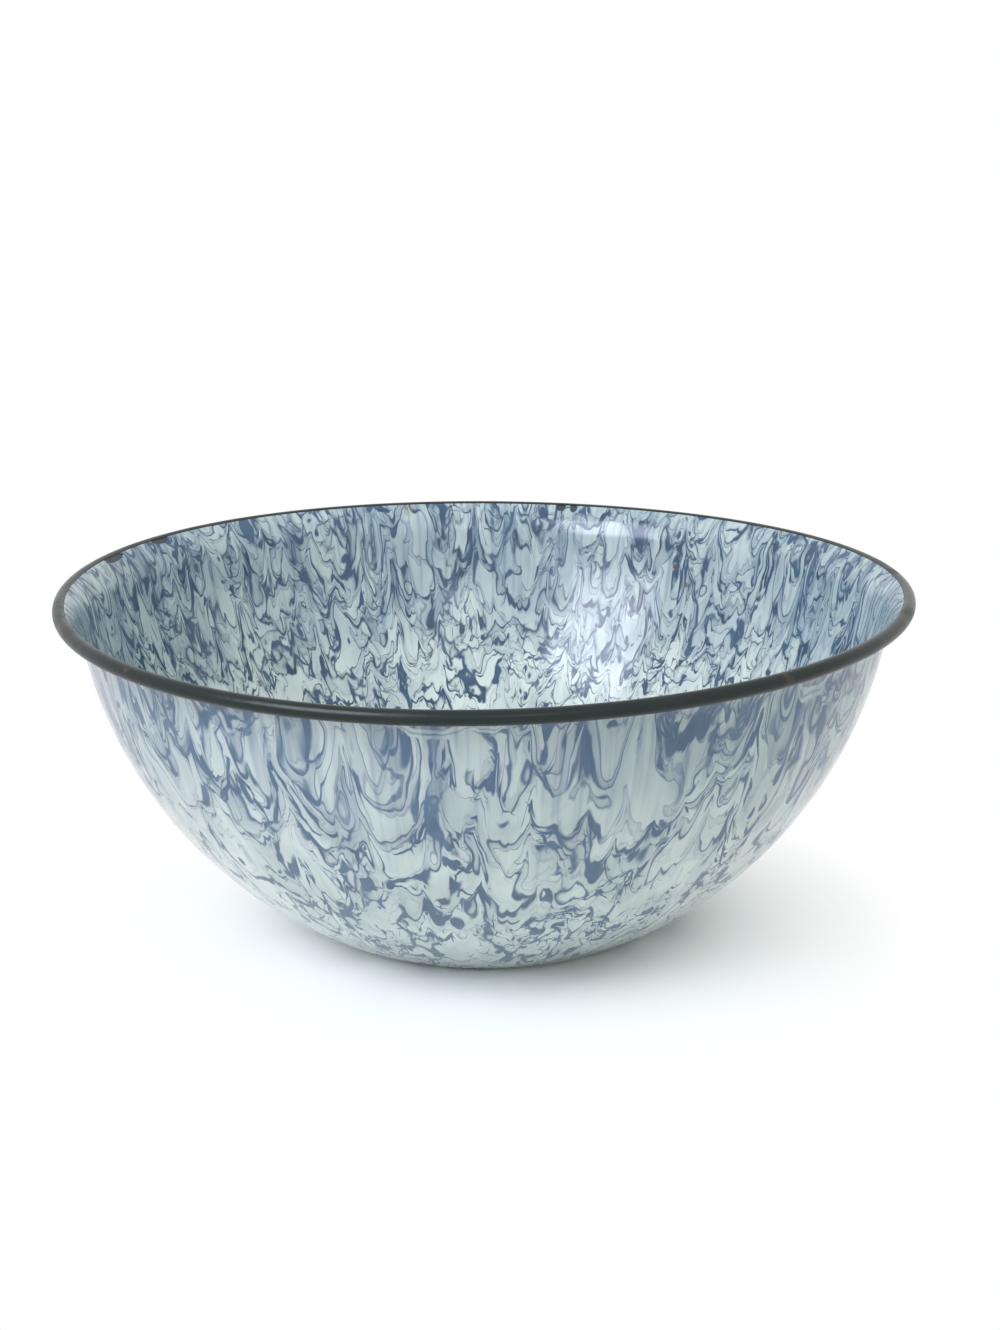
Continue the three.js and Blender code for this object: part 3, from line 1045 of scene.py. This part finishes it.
# %% [markdown]
# ## Ground coat and steel
#
# The ground coat is a nearly black, slightly rough glass that goes brown where damp has reached the
# steel under it. The steel is drawn sheet, with the fine scratches of the press running up the wall,
# and the wire is dull.

# %% Ground coat, fired on the steel
rust_size, grain_size = 2.2, 0.8
grain_depth = 0.05
ground_roughness = 0.45
ground_enamel = bpy.data.materials.new("dark_ground_enamel")
tree = new_tree(ground_enamel)
place = place_in_mm(tree)
rusty = add(tree, "TexNoise", {"Vector": place, "W": 61.0, "Scale": 1 / rust_size, "Detail": 3.0},
            noise_dimensions="4D")
rusty = add(tree, "MapRange", [rusty, 0.45, 0.70, 0, 1])
colour = add(tree, "Mix", {0: rusty, 6: "#26343E", 7: "#433E2E"}, output=2, data_type="RGBA")
grainy = add(tree, "TexNoise", {"Vector": place, "W": 62.0, "Scale": 1 / grain_size, "Detail": 2.0},
             noise_dimensions="4D")
bump = add(tree, "Bump", {"Strength": 1.0, "Distance": grain_depth * mm, "Height": grainy})
surface = add(tree, "BsdfPrincipled",
              {"Base Color": colour, "Roughness": ground_roughness, "IOR": glass_ior, "Normal": bump})
add(tree, "OutputMaterial", [surface], output=None)
inner_ground.data.materials.append(ground_enamel)
outer_ground.data.materials.append(ground_enamel)
print("ground enamel:", len(tree.nodes), "nodes")

# %% Drawn steel and wire
scratch_width = 0.4
steel_roughness = (0.35, 0.55)
for piece, name, colour, scratch_length in (
    (steel_shell, "drawn_sheet_steel", "#8B8D8E", 12.0),
    (rim_wire, "drawn_steel_wire", "#6F7173", 3.0),
):
    steel = bpy.data.materials.new(name)
    tree = new_tree(steel)
    scratch = (1 / scratch_width, 1 / scratch_width, 1 / scratch_length)
    place = add(tree, "VectorMath", [place_in_mm(tree), scratch], operation="MULTIPLY")
    scratches = add(tree, "TexNoise", {"Vector": place, "W": 71.0, "Scale": 1.0, "Detail": 3.0},
                    noise_dimensions="4D")
    dulled = add(tree, "MapRange", [scratches, 0.3, 0.7, *steel_roughness])
    surface = add(tree, "BsdfPrincipled", {"Base Color": colour, "Metallic": 1.0, "Roughness": dulled})
    add(tree, "OutputMaterial", [surface], output=None)
    piece.data.materials.append(steel)
    print(name + ":", len(tree.nodes), "nodes")

# %% [markdown]
# ## Fitting the pieces to the frame
#
# Nothing on the bowl moves, so every piece rides on its one body. Each stands for the solid of the same
# layer.

# %% Ride and replace
stands_for = {
    steel_shell: ("steel_shell", "sheet_steel"),
    rim_wire: ("rim_wire", "wire_steel"),
    inner_ground: ("inner_ground_coat", "ground_coat"),
    outer_ground: ("outer_ground_coat", "ground_coat"),
    inner_swirl: ("inner_swirl_enamel", "inner_swirl"),
    outer_swirl: ("outer_swirl_enamel", "outer_swirl"),
    bead: ("rim_bead_enamel", "black_enamel"),
}
for piece, (node, slot) in stands_for.items():
    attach(piece, "root")
    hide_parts(node)

bpy.context.scene.view_settings.view_transform = "Standard"
